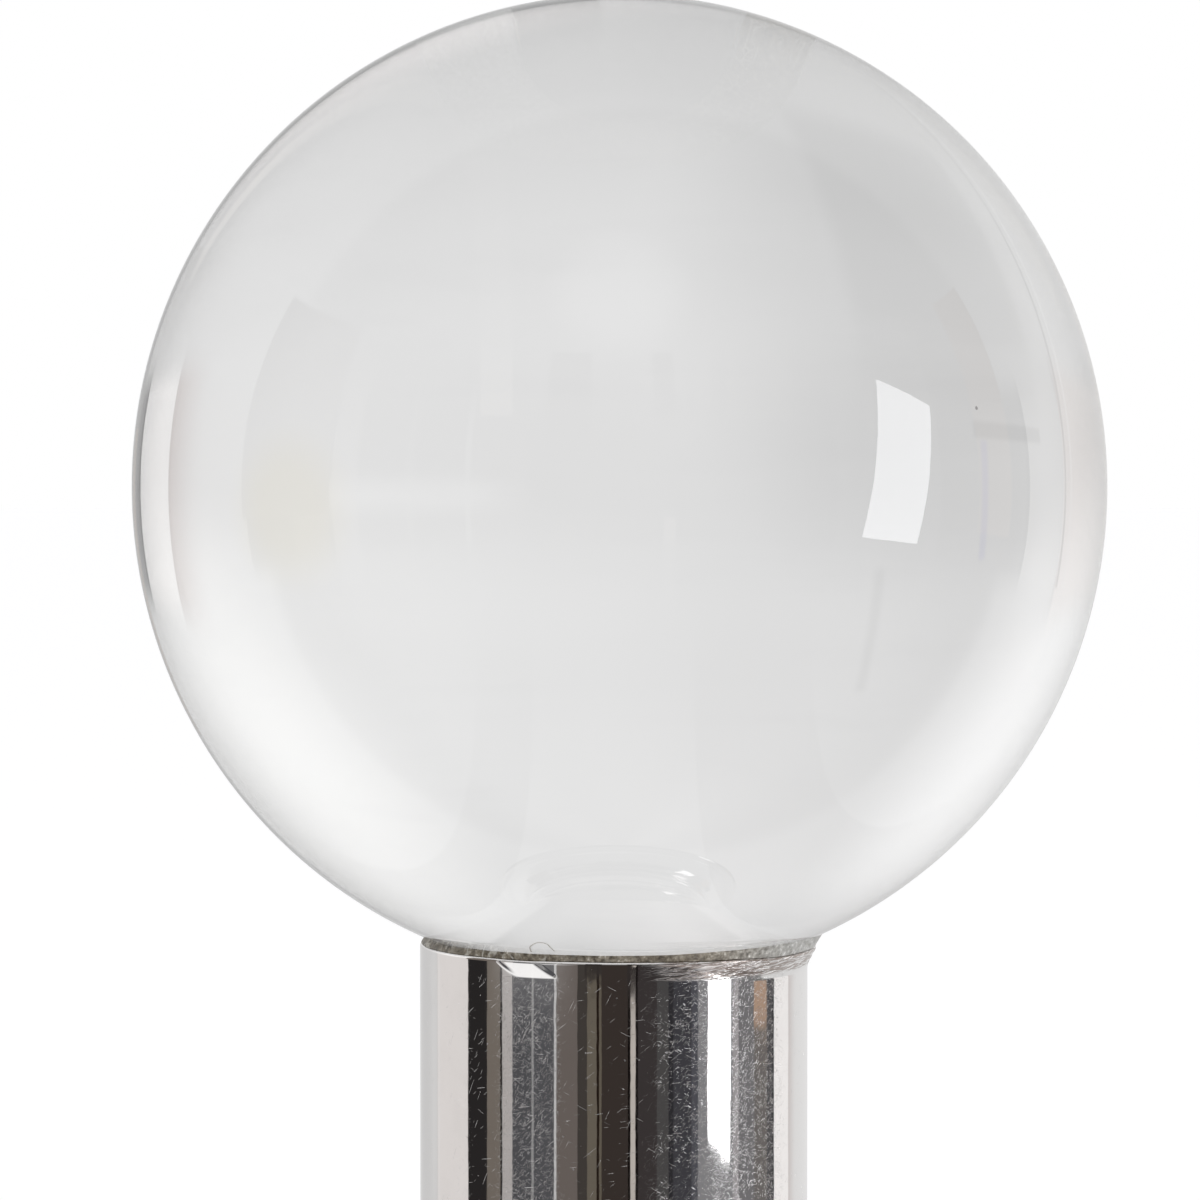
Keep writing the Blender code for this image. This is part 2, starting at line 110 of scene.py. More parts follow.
class Tree:
    """Short spellings for building a node tree."""

    def __init__(self, owner):
        owner.use_nodes = True
        self.tree = owner.node_tree
        self.tree.nodes.clear()

    def add(self, kind, **settings):
        node = self.tree.nodes.new(kind)
        for name, value in settings.items():
            setattr(node, name, value)
        return node

    def put(self, value, socket):
        """Links an output to an input, or sets the input to a plain value."""
        if isinstance(value, bpy.types.NodeSocket):
            self.tree.links.new(value, socket)
        elif isinstance(value, tuple) and len(value) == 3 and socket.type == "RGBA":
            socket.default_value = (*value, 1)
        else:
            socket.default_value = value

    def math(self, operation, a, b=0.0, clamp=False):
        node = self.add("ShaderNodeMath", operation=operation, use_clamp=clamp)
        self.put(a, node.inputs[0])
        self.put(b, node.inputs[1])
        return node.outputs[0]

    def mix(self, factor, a, b):
        node = self.add("ShaderNodeMix", data_type="RGBA", clamp_factor=True)
        self.put(factor, node.inputs[0])
        self.put(a, node.inputs[6])
        self.put(b, node.inputs[7])
        return node.outputs[2]

    def mix_values(self, factor, a, b):
        node = self.add("ShaderNodeMix", data_type="FLOAT")
        for socket, value in zip((node.inputs[0], node.inputs[2], node.inputs[3]), (factor, a, b)):
            self.put(value, socket)
        return node.outputs[0]

    def tint(self, colour, factor):
        node = self.add("ShaderNodeMix", data_type="RGBA", blend_type="MULTIPLY")
        self.put(1.0, node.inputs[0])
        self.put(colour, node.inputs[6])
        self.put(factor, node.inputs[7])
        return node.outputs[2]

    def tint_by(self, colour, share):
        """A colour dimmed to a share that is an output."""
        node = self.add("ShaderNodeVectorMath", operation="SCALE")
        self.put(colour, node.inputs[0])
        self.put(share, node.inputs["Scale"])
        return node.outputs[0]

    def plus(self, a, b):
        node = self.add("ShaderNodeMix", data_type="RGBA", blend_type="ADD")
        self.put(1.0, node.inputs[0])
        self.put(a, node.inputs[6])
        self.put(b, node.inputs[7])
        return node.outputs[2]

    def smooth(self, value, low, high, to_low=0.0, to_high=1.0):
        """A smooth step from to_low at low to to_high at high."""
        node = self.add("ShaderNodeMapRange", interpolation_type="SMOOTHSTEP")
        for socket, number in zip(node.inputs, (value, low, high, to_low, to_high)):
            self.put(number, socket)
        return node.outputs[0]

    def ramp(self, value, stops, interpolation="LINEAR"):
        node = self.add("ShaderNodeValToRGB")
        self.put(value, node.inputs[0])
        node.color_ramp.interpolation = interpolation
        elements = node.color_ramp.elements
        while len(elements) < len(stops):
            elements.new(1.0)
        for element, (position, colour) in zip(elements, stops):
            element.position = position
            element.color = (*colour, 1)
        return node.outputs[0]

    def place(self, rotation=(0, 0, 0), scale=(1, 1, 1)):
        """Object coordinates, turned by degrees and stretched."""
        coordinates = self.add("ShaderNodeTexCoord")
        mapping = self.add("ShaderNodeMapping")
        mapping.inputs["Rotation"].default_value = [math.radians(a) for a in rotation]
        mapping.inputs["Scale"].default_value = scale
        self.put(coordinates.outputs["Object"], mapping.inputs["Vector"])
        return mapping.outputs[0]

    def noise(self, vector, scale, detail=2.0, roughness=0.5, distortion=0.0):
        node = self.add("ShaderNodeTexNoise")
        self.put(vector, node.inputs["Vector"])
        node.inputs["Scale"].default_value = scale
        node.inputs["Detail"].default_value = detail
        node.inputs["Roughness"].default_value = roughness
        node.inputs["Distortion"].default_value = distortion
        return node.outputs[0]

    def bump(self, height, distance, strength=1.0, below=None):
        node = self.add("ShaderNodeBump")
        self.put(height, node.inputs["Height"])
        node.inputs["Distance"].default_value = distance
        node.inputs["Strength"].default_value = strength
        if below is not None:
            self.put(below, node.inputs["Normal"])
        return node.outputs[0]

    def surface(self, **inputs):
        """A Principled shader as the surface, with its inputs named in lower case."""
        shader = self.add("ShaderNodeBsdfPrincipled")
        for name, value in inputs.items():
            self.put(value, shader.inputs[name.replace("_", " ").title().replace("Ior", "IOR")])
        output = self.add("ShaderNodeOutputMaterial")
        self.put(shader.outputs[0], output.inputs["Surface"])


def tone(*levels):
    """A colour or a grey from the 0 to 255 levels of a picture, as linear light."""
    linear = [(level / 255) ** 2.2 for level in levels]
    return tuple(linear * 3) if len(linear) == 1 else tuple(linear)


def new_material(name):
    material = bpy.data.materials.new(name)
    return material, Tree(material)


def unrolled(tree, radius):
    """Coordinates along the circumference and up, as on a tube's skin slit open at the back."""
    coordinates = tree.add("ShaderNodeTexCoord")
    parts = tree.add("ShaderNodeSeparateXYZ")
    tree.put(coordinates.outputs["Object"], parts.inputs[0])
    x, y, z = parts.outputs
    angle = tree.math("ARCTAN2", x, tree.math("MULTIPLY", y, -1.0))
    flat = tree.add("ShaderNodeCombineXYZ")
    tree.put(tree.math("MULTIPLY", angle, radius), flat.inputs[0])
    tree.put(z, flat.inputs[1])
    return flat.outputs[0], angle


def strokes(tree, flat, angle, length, width, low, soft=0.05):
    """Short straight scratches at an angle to the circumference."""
    mapping = tree.add("ShaderNodeMapping", vector_type="TEXTURE")
    mapping.inputs["Rotation"].default_value = (0, 0, math.radians(angle))
    mapping.inputs["Scale"].default_value = (length, width, 1)
    tree.put(flat, mapping.inputs["Vector"])
    return tree.smooth(tree.noise(mapping.outputs[0], 1.0, 1.0), low, low + soft)


def between(tree, value, low, high, soft):
    """1 between two limits and 0 outside them, with soft edges."""
    rise = tree.smooth(value, low - soft, low + soft)
    fall = tree.smooth(value, high - soft, high + soft, 1.0, 0.0)
    return tree.math("MULTIPLY", rise, fall)


def highest(tree, masks):
    top = masks[0]
    for mask in masks[1:]:
        top = tree.math("MAXIMUM", top, mask)
    return top


def chrome(name, radius, wear):
    """Polished chrome plate: short scratches, a fuzz of hairlines, specks, smears and soft waves, and
    painted pinkish shade along the creases of the worn lip.
    """
    material, tree = new_material(name)
    flat, angle = unrolled(tree, radius)
    worn = tree.math(
        "MAXIMUM",
        between(tree, angle, -0.60, -0.30, 0.05),
        between(tree, angle, 0.22, 1.0, 0.10),
    )
    heights = tree.add("ShaderNodeSeparateXYZ")
    tree.put(tree.add("ShaderNodeTexCoord").outputs["Object"], heights.inputs[0])
    under_lip = tree.smooth(heights.outputs["Z"], RIM - 1.5 * MM, RIM - 1.1 * MM, 1.0, 0.0)
    patches = tree.noise(flat, 330, 2.0)
    long_marks = highest(
        tree,
        [
            strokes(tree, flat, turn, 1.8 * MM, 0.04 * MM, 0.75)
            for turn in (38, -27, 64, 8)
        ],
    )
    short_marks = highest(
        tree,
        [
            strokes(tree, flat, turn, 0.7 * MM, 0.04 * MM, low)
            for turn, low in ((48, 0.67), (-35, 0.69), (0, 0.69), (82, 0.69))
        ],
    )
    crowd = tree.smooth(patches, 0.38, 0.60, 0.15, 1.0)
    worn = tree.math("MULTIPLY", worn, crowd)
    short_marks = tree.math("MULTIPLY", short_marks, worn)
    fuzz = highest(
        tree,
        [
            strokes(tree, flat, turn, 0.28 * MM, 0.05 * MM, 0.70, 0.05)
            for turn in (25, -45, 80)
        ],
    )
    fuzz = tree.math("MULTIPLY", fuzz, tree.math("ADD", tree.math("MULTIPLY", worn, 0.9), 0.1))
    fuzz = tree.math("MULTIPLY", fuzz, under_lip)
    marks = tree.math("MULTIPLY", tree.math("MAXIMUM", long_marks, short_marks), under_lip)
    on_lip = tree.math(
        "MULTIPLY",
        tree.smooth(heights.outputs["Z"], RIM - 1.5 * MM, RIM - 1.2 * MM),
        tree.smooth(angle, 0.10, 0.35),
    )
    creases_and_shade = highest(
        tree,
        [
            strokes(tree, flat, turn, 2.2 * MM, 0.10 * MM, 0.50, 0.12)
            for turn in (-3, 4, 11)
        ],
    )
    creases_and_shade = tree.math("MULTIPLY", creases_and_shade, on_lip)
    haze = tree.smooth(tree.noise(tree.place(), 160, 4.0, 0.6), 0.45, 0.75)
    specks = tree.smooth(tree.noise(flat, 3000, 1.0), 0.755, 0.785)
    rough = tree.math("MULTIPLY", marks, 0.24 * wear)
    rough = tree.math("ADD", rough, tree.math("MULTIPLY", fuzz, 0.17 * wear))
    rough = tree.math("ADD", rough, tree.math("MULTIPLY", haze, 0.03 * wear))
    rough = tree.math("ADD", rough, tree.math("MULTIPLY", specks, 0.4))
    rough = tree.math("ADD", rough, tree.math("MULTIPLY", creases_and_shade, 0.22))
    rough = tree.math("ADD", rough, 0.03)
    waves = tree.noise(tree.place(scale=(1, 1, 0.35)), 70, 2.0)
    dents = tree.noise(tree.place(scale=(1, 1, 0.6)), 700, 2.0)
    normal = tree.bump(waves, 0.00002, 0.35)
    normal = tree.bump(dents, 0.0000035, wear, normal)
    normal = tree.bump(marks, 0.000006, wear, normal)
    normal = tree.bump(creases_and_shade, 0.000012, wear, normal)
    colour = tree.mix(haze, tone(238, 236, 235), tone(232, 230, 229))
    # Along the lip's creases the chrome is darkened to a pinkish grey: painted shade. The same mask also
    # sets real roughness and bumps.
    colour = tree.mix(creases_and_shade, colour, tone(176, 166, 160))
    tree.surface(base_color=colour, metallic=1.0, roughness=rough, normal=normal)
    return material


def clear_glass():
    """Clear glass, with faint smears, a warm stain on the left and a speck on the right."""
    material, tree = new_material("clear_glass")
    smears = tree.noise(tree.place((20, 35, 0), (1, 1, 3)), 60, 4.0, 0.6)
    wisps = tree.noise(tree.place((0, 30, 10), (60, 60, 420)), 1.0, 4.0, 0.65)
    clear = tree.mix(tree.smooth(wisps, 0.5, 0.8), (1.0, 1.0, 1.0), (0.972, 0.972, 0.974))
    coordinates = tree.add("ShaderNodeTexCoord")
    away = tree.add("ShaderNodeVectorMath", operation="DISTANCE")
    tree.put(coordinates.outputs["Object"], away.inputs[0])
    stain_at = BALL_CENTRE + BALL_RADIUS * Vector((-0.626, -0.779, -0.042))
    away.inputs[1].default_value = stain_at
    stain = tree.smooth(away.outputs["Value"], 2 * MM, 6.5 * MM, 1.0, 0.0)
    clear = tree.mix(stain, clear, (0.985, 0.955, 0.86))
    away = tree.add("ShaderNodeVectorMath", operation="DISTANCE")
    tree.put(coordinates.outputs["Object"], away.inputs[0])
    away.inputs[1].default_value = on_ball(23.7 * MM, 5.3 * MM)
    speck = tree.smooth(away.outputs["Value"], 0.10 * MM, 0.16 * MM, 1.0, 0.0)
    clear = tree.mix(speck, clear, (0.25, 0.25, 0.25))
    rough = tree.smooth(smears, 0.62, 0.80, 0.0, 0.03)
    ripple = tree.noise(tree.place(), 26, 2.0)
    tree.surface(
        base_color=clear,
        roughness=rough,
        transmission_weight=1.0,
        ior=1.5,
        normal=tree.bump(ripple, 0.00004, 0.10),
    )
    return material


def bonding_cement():
    """Grainy cement: dark brown in the thin part, grey in the fillet, with pale threads and crumbs; the
    lightest specks of the grain are painted sparkle highlights.
    """
    material, tree = new_material("bonding_cement")
    angle = unrolled(tree, TUBE_RADIUS)[1]
    grain = tree.noise(tree.place(), 2600, 3.0, 0.7)
    # The lightest stops of both ramps make near-white specks in the grain: painted sparkle highlights.
    dark = tree.ramp(
        grain,
        (
            (0.30, tone(58, 52, 44)),
            (0.48, tone(112, 103, 89)),
            (0.62, tone(150, 142, 127)),
            (0.72, tone(214, 208, 198)),
        ),
    )
    grey = tree.ramp(
        grain,
        (
            (0.32, tone(118, 116, 110)),
            (0.48, tone(160, 159, 155)),
            (0.62, tone(190, 189, 186)),
            (0.70, tone(240, 240, 240)),
        ),
    )
    fillet = tree.smooth(angle, 0.35, 1.1)
    colour = tree.mix(fillet, dark, grey)
    cells = tree.add("ShaderNodeTexVoronoi", feature="DISTANCE_TO_EDGE")
    tree.put(tree.place(), cells.inputs["Vector"])
    cells.inputs["Scale"].default_value = 1300
    threads = tree.smooth(cells.outputs["Distance"], 0.04, 0.10, 1.0, 0.0)
    gather = tree.smooth(tree.noise(tree.place(), 700, 2.0), 0.46, 0.58)
    left = tree.smooth(angle, -0.5, -0.2, 1.0, 0.15)
    threads = tree.math("MULTIPLY", tree.math("MULTIPLY", threads, gather), left)
    colour = tree.mix(threads, colour, tone(186, 182, 172))
    normal = tree.bump(grain, 0.00010, 0.8)
    normal = tree.bump(threads, 0.00004, 0.8, normal)
    tree.surface(base_color=colour, roughness=0.38, normal=normal)
    return material


def pale_cement():
    """Squeezed-out cement, thin enough to look pale and half clear."""
    material, tree = new_material("pale_cement")
    grain = tree.noise(tree.place(), 2200, 3.0, 0.6)
    colour = tree.mix(grain, tone(150, 146, 138), tone(216, 212, 204))
    tree.surface(base_color=colour, roughness=0.3, normal=tree.bump(grain, 0.00003, 0.6))
    return material


def zinc_plate():
    """Zinc-plated steel, blue-grey, with dull patches, scratches and a little white bloom."""
    material, tree = new_material("zinc_plate")
    flat = unrolled(tree, 8 * MM)[0]
    marks = highest(
        tree,
        [strokes(tree, flat, turn, 1.5 * MM, 0.05 * MM, 0.69) for turn in (35, -30, 70, 5)],
    )
    patch = tree.noise(tree.place(), 300, 5.0, 0.65)
    fine = tree.noise(tree.place(), 3500, 3.0, 0.7)
    dull = tree.smooth(patch, 0.42, 0.68)
    rough = tree.math("ADD", tree.math("MULTIPLY", dull, 0.22), 0.24)
    rough = tree.math("ADD", rough, tree.math("MULTIPLY", marks, 0.15))
    colour = tree.mix(dull, tone(196, 199, 204), tone(164, 166, 168))
    bloom = tree.math("MULTIPLY", tree.smooth(patch, 0.62, 0.80), 0.5)
    colour = tree.mix(bloom, colour, tone(205, 203, 198))
    normal = tree.bump(fine, 0.00002, 0.35)
    normal = tree.bump(marks, 0.00001, 0.6, normal)
    tree.surface(base_color=colour, metallic=1.0, roughness=rough, normal=normal)
    return material


def black_rubber():
    """Moulded black rubber, dusty, with a fine grain."""
    material, tree = new_material("black_rubber")
    grain = tree.noise(tree.place(), 4200, 3.0, 0.6)
    dust = tree.smooth(tree.noise(tree.place(), 380, 5.0, 0.7), 0.48, 0.8)
    colour = tree.mix(dust, tone(34, 34, 35), tone(82, 80, 76))
    rough = tree.math("ADD", tree.math("MULTIPLY", dust, 0.2), 0.62)
    tree.surface(
        base_color=colour,
        roughness=rough,
        normal=tree.bump(grain, 0.00003, 0.5),
    )
    return material


def turned_brass():
    """Turned brass with fine tool rings and brown tarnish."""
    material, tree = new_material("turned_brass")
    rings = tree.noise(tree.place(scale=(60, 60, 9000)), 1.0, 2.0)
    tarnish = tree.smooth(tree.noise(tree.place(), 240, 4.0, 0.6), 0.4, 0.7)
    colour = tree.mix(tarnish, tone(214, 182, 116), tone(146, 110, 62))
    rough = tree.math("ADD", tree.math("MULTIPLY", tarnish, 0.25), 0.22)
    tree.surface(
        base_color=colour,
        metallic=1.0,
        roughness=rough,
        normal=tree.bump(rings, 0.000004, 0.8),
    )
    return material


# ---------------------------------------------------------------- shapes


def piece(name, mesh, body, material, slot, *replaced, sharp=32):
    """A visible piece in the frame: it rides on a body and stands for some CAD nodes."""
    obj = bpy.data.objects.new(name, mesh)
    bpy.context.scene.collection.objects.link(obj)
    mesh.shade_smooth()
    mesh.set_sharp_from_angle(angle=math.radians(sharp))
    mesh.materials.clear()
    mesh.materials.append(material)
    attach(obj, body)
    if replaced:
        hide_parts(*replaced)
    return obj


def grid_mesh(name, rows, closed_rows=True, closed_section=True):
    """A mesh of quads over rows of points. Open rows end in a flat cap."""
    mesh = bpy.data.meshes.new(name)
    count, width = len(rows), len(rows[0])
    faces = []
    for i in range(count if closed_rows else count - 1):
        for j in range(width if closed_section else width - 1):
            a = i * width + j
            b = i * width + (j + 1) % width
            c = ((i + 1) % count) * width + (j + 1) % width
            d = ((i + 1) % count) * width + j
            faces.append((a, b, c, d))
    if not closed_rows:
        faces.append(tuple(reversed(range(width))))
        faces.append(tuple((count - 1) * width + j for j in range(width)))
    mesh.from_pydata([tuple(p) for row in rows for p in row], [], faces)
    shaper = bmesh.new()
    shaper.from_mesh(mesh)
    bmesh.ops.remove_doubles(shaper, verts=shaper.verts, dist=0.0005 * MM)
    bmesh.ops.recalc_face_normals(shaper, faces=shaper.faces)
    shaper.to_mesh(mesh)
    shaper.free()
    return mesh


def supported(profile):
    """The same loop with extra points near the ends of its long sides, to keep them flat."""
    result = []
    count = len(profile)
    for i, point in enumerate(profile):
        here, after = Vector(point), Vector(profile[(i + 1) % count])
        result.append(tuple(here))
        if (after - here).length > 0.8 * MM:
            along = (after - here).normalized() * 0.06 * MM
            result += [tuple(here + along), tuple(after - along)]
    return result


def turned_mesh(name, profile, steps=192):
    """A closed loop of (radius, height) turned about Z."""
    profile = supported(profile)
    rows = []
    for i in range(steps):
        angle = math.tau * i / steps
        rows.append([(r * math.cos(angle), r * math.sin(angle), z) for r, z in profile])
    return grid_mesh(name, rows)


def lofted_mesh(name, section, steps):
    """A ring whose section(angle), a loop of (radius, height, lean), changes on the way round."""
    rows = []
    for i in range(steps):
        angle = math.tau * i / steps
        row = []
        for r, z, *lean in section(angle):
            at = angle + sum(lean)
            row.append((r * math.cos(at), r * math.sin(at), z))
        rows.append(row)
    return grid_mesh(name, rows)


def arc(centre, radius, start, end, steps=12):
    points = []
    for i in range(steps + 1):
        angle = math.radians(start + (end - start) * i / steps)
        points.append(
            (centre[0] + radius * math.cos(angle), centre[1] + radius * math.sin(angle))
        )
    return points


def rounded(profile, radius, steps=4):
    """The same loop with each corner rounded by up to a radius."""
    result = []
    count = len(profile)
    for i, corner in enumerate(profile):
        here = Vector(corner)
        before = Vector(profile[i - 1]) - here
        after = Vector(profile[(i + 1) % count]) - here
        cut = min(radius, 0.45 * before.length, 0.45 * after.length)
        start = here + before.normalized() * cut
        end = here + after.normalized() * cut
        for k in range(steps + 1):
            t = k / steps
            result.append(tuple(start * (1 - t) ** 2 + here * 2 * t * (1 - t) + end * t * t))
    return result


# ---------------------------------------------------------------- ball, cement and tube


def flare(angle):
    """How far the mouth is flared at an angle from +X: 1 on that side, 0 from 85 degrees on."""
    off = abs(math.remainder(angle, math.tau))
    share = min(1, max(0, (FLARE_START - off) / (FLARE_START - FLARE_FULL)))
    return share * share * (3 - 2 * share)


def ball_underside(x, y, radius):
    drop = radius**2 - (x - BALL_CENTRE.x) ** 2 - (y - BALL_CENTRE.y) ** 2
    return BALL_CENTRE.z - BALL_STRETCH * math.sqrt(drop)


def mouth(angle):
    """The mouth's outer edge and the inner edge of its countersink, a little uneven by wear."""
    share = flare(angle)
    wear = 0.05 * MM * noise.noise((3 * math.cos(angle), 3 * math.sin(angle), 4.0))
    edge = (TUBE_RADIUS + LIP_FLARE * share, RIM - LIP_DROP * share + wear * (0.4 + share))
    seat = (TUBE_RADIUS - TUBE_WALL, RIM - MOUTH_DEPTH - 0.6 * LIP_DROP * share)
    return edge, seat


def facet(angle):
    """How much of the dent's height there is at an angle from +X, measured at the mouth."""
    off = math.remainder(angle + math.pi / 2, math.tau)
    rise = min(1, max(0, (off - FACET_FROM) / (FACET_FULL - FACET_FROM)))
    fall = min(1, max(0, (FACET_TO - off) / FACET_FADE))
    return rise * (2 - rise) * fall


def near_facet(angle, reach):
    """1 over the dent and a little beside it, falling to 0 over a reach on both sides."""
    off = math.remainder(angle + math.pi / 2, math.tau)
    beside = abs(off - 0.5 * (FACET_FROM + FACET_TO)) - 0.75 * (FACET_TO - FACET_FROM)
    share = min(1, max(0, 1 - beside / reach))
    return share * share * (3 - 2 * share)


def tube_section(angle):
    """The tube's wall at an angle: seat, rounded crown, worn lip and plain skin."""
    edge, seat = mouth(angle)
    share = flare(angle)
    dent = facet(angle)
    slant = FACET_SLANT * near_facet(angle, FACET_LEAN_REACH)
    plain = FACET_HEIGHT if slant > 0 else LIP_HEIGHT_PLAIN
    height = max(LIP_HEIGHT * min(1, 1.6 * share), plain)
    start = edge[1] - height
    top = edge[1] - LIP_ROUND
    below = start - 0.05 * MM
    taper = FACET_DEPTH * dent
    lip = []
    for i in range(LIP_ROWS + 1):
        t = 1 - i / LIP_ROWS
        crease = noise.noise((4 * math.cos(angle), 4 * math.sin(angle), 9 * t))
        height_here = start + (top - start) * t
        lip.append(
            (
                TUBE_RADIUS
                + (edge[0] - TUBE_RADIUS) * t ** (2 - 0.6 * share)
                - taper * t
                + LIP_CREASE * share * crease * math.sin(math.pi * t),
                height_here,
                slant * (top - height_here) / (top - start),
            )
        )
    corner = Vector((edge[0] - taper, edge[1]))
    crown = [
        tuple(corner + LIP_ROUND * Vector((math.cos(a) - 1, math.sin(a) - 1)))
        for a in (math.radians(d) for d in (90, 75, 60, 45, 30, 15))
    ]
    return [
        seat,
        (edge[0] - EDGE_WIDTH, edge[1]),
        *crown,
        *lip,
        (TUBE_RADIUS, below, slant),
        (TUBE_RADIUS, TUBE_BOTTOM + 0.1 * MM, slant),
        (TUBE_RADIUS, TUBE_BOTTOM, slant),
        (TUBE_RADIUS - TUBE_WALL, TUBE_BOTTOM, slant),
    ]


def cement_section(angle):
    """The cement touches the glass above and the mouth below, and swells out between them."""
    edge, seat = mouth(angle)
    share = flare(angle)
    toward = Vector((math.cos(angle), math.sin(angle)))
    wander = noise.noise((9 * toward.x, 9 * toward.y, 1.0))
    outer = TUBE_RADIUS - 0.05 * MM + BALL_CENTRE.x * toward.x + LIP_FLARE * share
    outer += 0.06 * MM * wander + 0.2 * MM * share

    def under(radius, sink=0.0):
        return (radius, ball_underside(radius * toward.x, radius * toward.y, BALL_RADIUS) - sink)

    top = [under(CEMENT_INNER + (outer - CEMENT_INNER) * i / 10) for i in range(11)]
    brink = Vector(top[-1])
    foot = Vector((edge[0] - 0.09 * MM + 0.06 * MM * share, edge[1] + 0.005 * MM))
    hollow = 0.78 - 0.2 * share
    waist = Vector((hollow * foot.x + (1 - hollow) * brink.x, 0.5 * (foot.y + brink.y)))
    meniscus = []
    for i in range(1, 11):
        t = i / 10
        point = brink * (1 - t) ** 2 + waist * 2 * t * (1 - t) + foot * t**2
        grit = noise.noise((240 * toward.x, 240 * toward.y, 18 * t))
        point.x += 0.04 * MM * grit * math.sin(math.pi * t)
        meniscus.append(tuple(point))
    below = [
        (edge[0] - EDGE_WIDTH, edge[1] + 0.005 * MM),
        (seat[0], seat[1]),
        (seat[0] - 0.2 * MM, seat[1] - 0.2 * MM),
        under(CEMENT_INNER, 1 * MM),
    ]
    return top + meniscus + below


def on_ball(x, z):
    """The point on the ball's front, at a place measured from its centre."""
    y = -math.sqrt(BALL_RADIUS**2 - x**2 - (z / BALL_STRETCH) ** 2)
    return BALL_CENTRE + Vector((x, y, z))


def thread_mesh():
    """A stray thread of cement that loops up the glass on the left of the front."""
    bends = ((-6.1, -32.2), (-6.15, -31.7), (-5.6, -31.3), (-5.0, -31.4), (-4.75, -31.7), (-4.4, -32.1))
    path = [on_ball(x * MM, z * MM) for x, z in bends]
    fine = []
    for i in range(len(path) - 1):
        for k in range(6):
            t = k / 6
            before, after = path[max(i - 1, 0)], path[min(i + 2, len(path) - 1)]
            slope_a, slope_b = (path[i + 1] - before) / 2, (after - path[i]) / 2
            fine.append(
                path[i] * (2 * t**3 - 3 * t**2 + 1)
                + slope_a * (t**3 - 2 * t**2 + t)
                + path[i + 1] * (3 * t**2 - 2 * t**3)
                + slope_b * (t**3 - t**2)
            )
    rows = []
    for i in range(1, len(fine) - 1):
        along = (fine[i + 1] - fine[i - 1]).normalized()
        out = (fine[i] - BALL_CENTRE).normalized()
        side = along.cross(out)
        thick = 0.05 * MM * (1 + 0.4 * noise.noise((i * 0.4, 0, 0)))
        rows.append(
            [
                fine[i] + thick * (math.cos(a) * side + 0.7 * math.sin(a) * out)
                for a in (math.tau * k / 10 for k in range(10))
            ]
        )
    return grid_mesh("cement_thread", rows, closed_rows=False)


def make_ball(glass):
    """A sphere fine enough to refract cleanly, very slightly out of true."""
    shaper = bmesh.new()
    bmesh.ops.create_icosphere(shaper, subdivisions=7, radius=BALL_RADIUS)
    for vert in shaper.verts:
        along = vert.co.normalized()
        vert.co += along * 0.04 * MM * noise.noise(along * 1.3 + Vector((5, 2, 7)))
        vert.co.z *= BALL_STRETCH
        vert.co += BALL_CENTRE
    mesh = bpy.data.meshes.new("glass_sphere")
    shaper.to_mesh(mesh)
    shaper.free()
    piece("glass_sphere", mesh, "ornament", glass, "glass", "glass_ball", sharp=180)


def make_stem(plate, cement):
    tube = lofted_mesh("polished_tube", tube_section, 384)
    piece("polished_tube", tube, "ornament", plate, "chrome", "stem_tube", sharp=40)
    bead = lofted_mesh("cement_bead", cement_section, 640)
    piece("cement_bead", bead, "ornament", cement, "cement", "bonding_cement", sharp=80)
    piece("cement_thread", thread_mesh(), "ornament", pale_cement(), "cement")


# ---------------------------------------------------------------- foot


def make_collar(plate):
    """Two half-round beads with a fillet in the groove between them."""
    inner = TUBE_RADIUS + 0.04 * MM
    outer = collar_high.y
    height = collar_high.z - collar_low.z
    bead = 1.3 * MM
    groove = outer - bead
    profile = [(inner, collar_high.z - 0.15 * MM), (inner + 0.15 * MM, collar_high.z)]
    for middle in (collar_low.z + height - bead, collar_low.z + bead):
        profile += arc((groove, middle), bead, 88, -88, 24)
    profile += [(groove, base_high.z), (inner, base_high.z)]
    mesh = turned_mesh("beaded_collar", profile, 256)
    piece("beaded_collar", mesh, "ornament", plate, "chrome", "stem_collar")


def make_foot(plate):
    """The stepped foot, with its cove, its fine step and its rolled edge."""
    radius = base_high.y
    top, bottom = base_high.z, base_low.z
    hole = 4.3 * MM
    shoulder = 17.2 * MM
    cove = 7.4 * MM
    cove_top = top - 1.8 * MM
    cove_foot = cove_top - cove
    step = shoulder + cove + 0.8 * MM
    edge = 1.8 * MM
    profile = [
        (hole, top),
        *arc((shoulder - 0.5 * MM, top - 0.5 * MM), 0.5 * MM, 90, 0, 8),
        *arc((shoulder + 0.15 * MM, cove_top + 0.3 * MM), 0.15 * MM, 180, 200, 2),
        *arc((shoulder + cove, cove_top), cove, 180, 270, 32),
        *arc((step - 0.2 * MM, cove_foot - 0.2 * MM), 0.2 * MM, 90, 0, 5),
        (step, cove_foot - 0.75 * MM),
        *arc((step + 0.15 * MM, cove_foot - 0.75 * MM), 0.15 * MM, 180, 270, 4),
        *arc((radius - edge, cove_foot - 0.9 * MM - edge), edge, 90, 0, 14),
        (radius, bottom + 0.5 * MM),
        *arc((radius - 0.5 * MM, bottom + 0.2 * MM), 0.5 * MM, 0, -90, 6),
        (20.5 * MM, bottom - 0.3 * MM),
        (20.5 * MM, bottom + 2.2 * MM),
        (13 * MM, top - 4 * MM),
        (hole, top - 4 * MM),
    ]
    mesh = turned_mesh("stepped_foot", profile, 320)
    piece("stepped_foot", mesh, "ornament", plate, "chrome", "base_flange", sharp=40)


